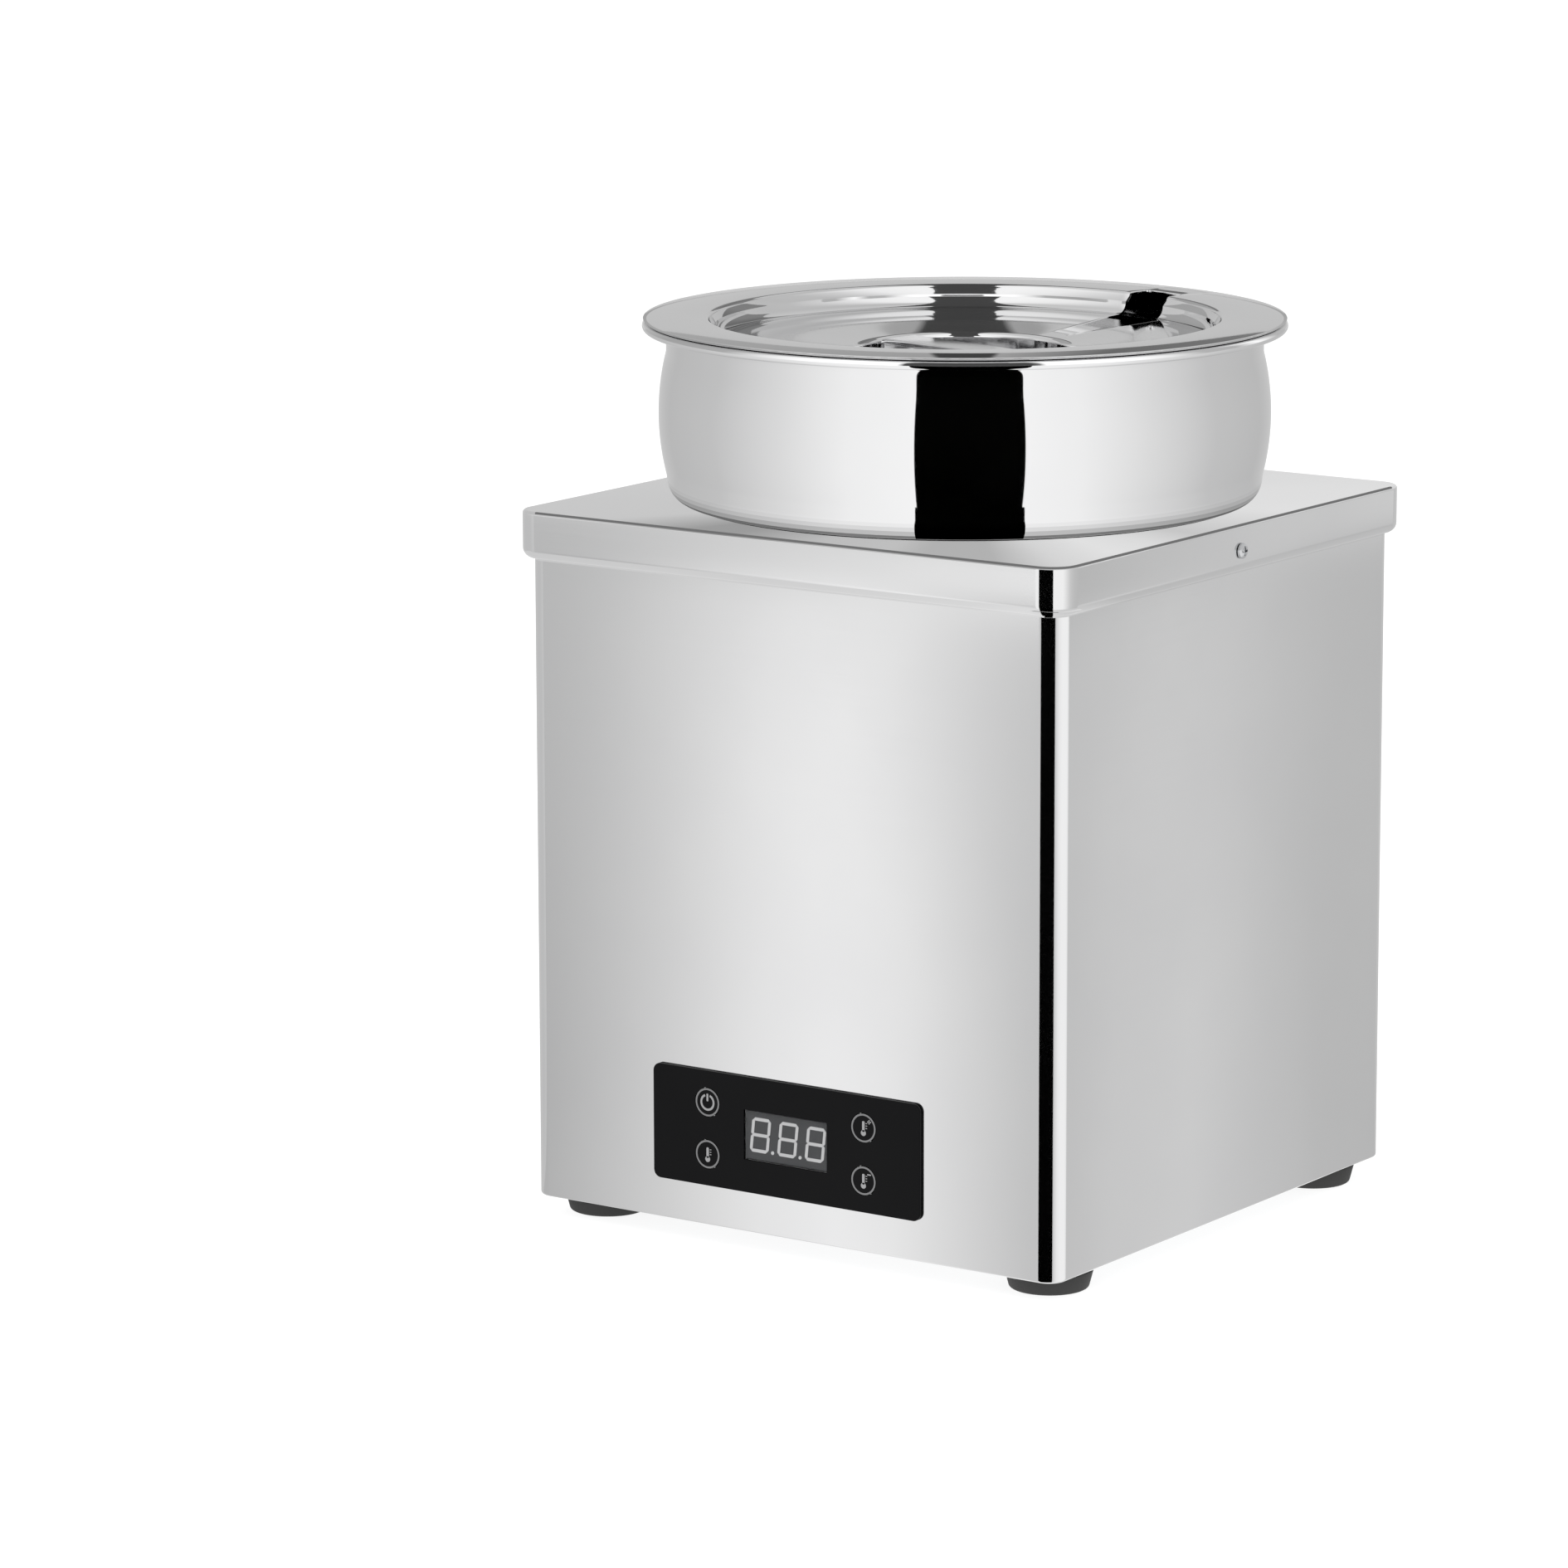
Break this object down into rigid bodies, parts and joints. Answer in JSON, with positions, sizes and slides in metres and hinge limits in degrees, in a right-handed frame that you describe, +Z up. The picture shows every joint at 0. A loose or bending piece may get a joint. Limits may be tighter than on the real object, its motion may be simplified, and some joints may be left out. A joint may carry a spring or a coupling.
{
  "type": "countertop food melting warmer",
  "caption": "Square steel countertop warmer with a round lift-out pot, a recessed lid with ladle notch, and a black digital control panel low on the front.",
  "frame": {"origin": "on the floor under the middle of the cabinet", "axes": "+Z up; the control panel faces -Y; +X is to the right when facing the panel"},
  "size_m": [0.254, 0.25, 0.3483],
  "materials": {
    "satin_steel": "satin stainless sheet, smooth, no visible grain",
    "polished_steel": "polished stainless steel",
    "zinc_steel": "zinc-plated steel",
    "cast_aluminium": "as cast",
    "brass": "plain",
    "fascia_black": "glossy black overlay",
    "display_lens": "tinted clear window",
    "led_plastic": "dark grey module face",
    "black_plastic": "moulded",
    "rubber": "moulded",
    "mineral_wool": "fibrous blanket",
    "circuit_board": "solder-masked laminate",
    "transformer_core": "varnished laminations and winding tape",
    "live_sleeve": "extruded sleeve",
    "neutral_sleeve": "extruded sleeve",
    "earth_sleeve": "extruded sleeve",
    "heater_sleeve": "woven glass sleeve",
    "grey_sleeve": "extruded sleeve"
  },
  "bodies": {
    "cabinet": {"cabinet_wrap": "satin_steel", "top_cover": "satin_steel", "rear_panel": "satin_steel", "well": "polished_steel", "temperature_probe": "polished_steel", "cover_screw_left": "polished_steel", "cover_screw_right": "polished_steel", "rear_screw_1": "polished_steel", "rear_screw_2": "polished_steel", "rear_screw_3": "polished_steel", "rear_screw_4": "polished_steel", "base_tray": "zinc_steel", "foot_screw_front_left": "zinc_steel", "foot_screw_front_right": "zinc_steel", "foot_screw_rear_left": "zinc_steel", "foot_screw_rear_right": "zinc_steel", "heater_clamp": "zinc_steel", "heater_nut": "zinc_steel", "board_bracket": "zinc_steel", "inlet_screw_left": "zinc_steel", "inlet_screw_right": "zinc_steel", "heating_plate": "cast_aluminium", "cutout_thermostat": "cast_aluminium", "inlet_pin_live": "brass", "inlet_pin_neutral": "brass", "inlet_pin_earth": "brass", "earth_screw": "brass", "control_fascia": "fascia_black", "display_lens": "display_lens", "led_display": "led_plastic", "display_frame": "black_plastic", "key_switch_power": "black_plastic", "key_switch_mode": "black_plastic", "key_switch_up": "black_plastic", "key_switch_down": "black_plastic", "relay": "black_plastic", "inlet_socket": "black_plastic", "foot_front_left": "rubber", "foot_front_right": "rubber", "foot_rear_left": "rubber", "foot_rear_right": "rubber", "insulation_jacket": "mineral_wool", "display_board": "circuit_board", "power_board": "circuit_board", "transformer": "transformer_core", "live_lead": "live_sleeve", "neutral_lead": "neutral_sleeve", "earth_lead": "earth_sleeve", "heater_lead_left": "heater_sleeve", "heater_lead_right": "heater_sleeve", "probe_lead": "grey_sleeve", "ribbon_cable": "grey_sleeve"},
    "pot": {"pot": "polished_steel"},
    "lid": {"lid": "polished_steel", "lid_handle": "polished_steel"},
    "power_key": {"key_power": "fascia_black"},
    "mode_key": {"key_mode": "fascia_black"},
    "up_key": {"key_up": "fascia_black"},
    "down_key": {"key_down": "fascia_black"}
  },
  "joints": [
    {"name": "pot_lift", "type": "slide", "parent": "cabinet", "child": "pot", "axis": [0, 0, 1], "range_m": [0, 0.15]},
    {"name": "lid_lift", "type": "slide", "parent": "pot", "child": "lid", "axis": [0, 0, 1], "range_m": [0, 0.06]},
    {"name": "power_press", "type": "slide", "parent": "cabinet", "child": "power_key", "axis": [0, 1, 0], "range_m": [0, 0.0004], "stiffness_N_per_m": 3000, "springref_m": -0.0001},
    {"name": "mode_press", "type": "slide", "parent": "cabinet", "child": "mode_key", "axis": [0, 1, 0], "range_m": [0, 0.0004], "stiffness_N_per_m": 3000, "springref_m": -0.0001},
    {"name": "up_press", "type": "slide", "parent": "cabinet", "child": "up_key", "axis": [0, 1, 0], "range_m": [0, 0.0004], "stiffness_N_per_m": 3000, "springref_m": -0.0001},
    {"name": "down_press", "type": "slide", "parent": "cabinet", "child": "down_key", "axis": [0, 1, 0], "range_m": [0, 0.0004], "stiffness_N_per_m": 3000, "springref_m": -0.0001}
  ]
}
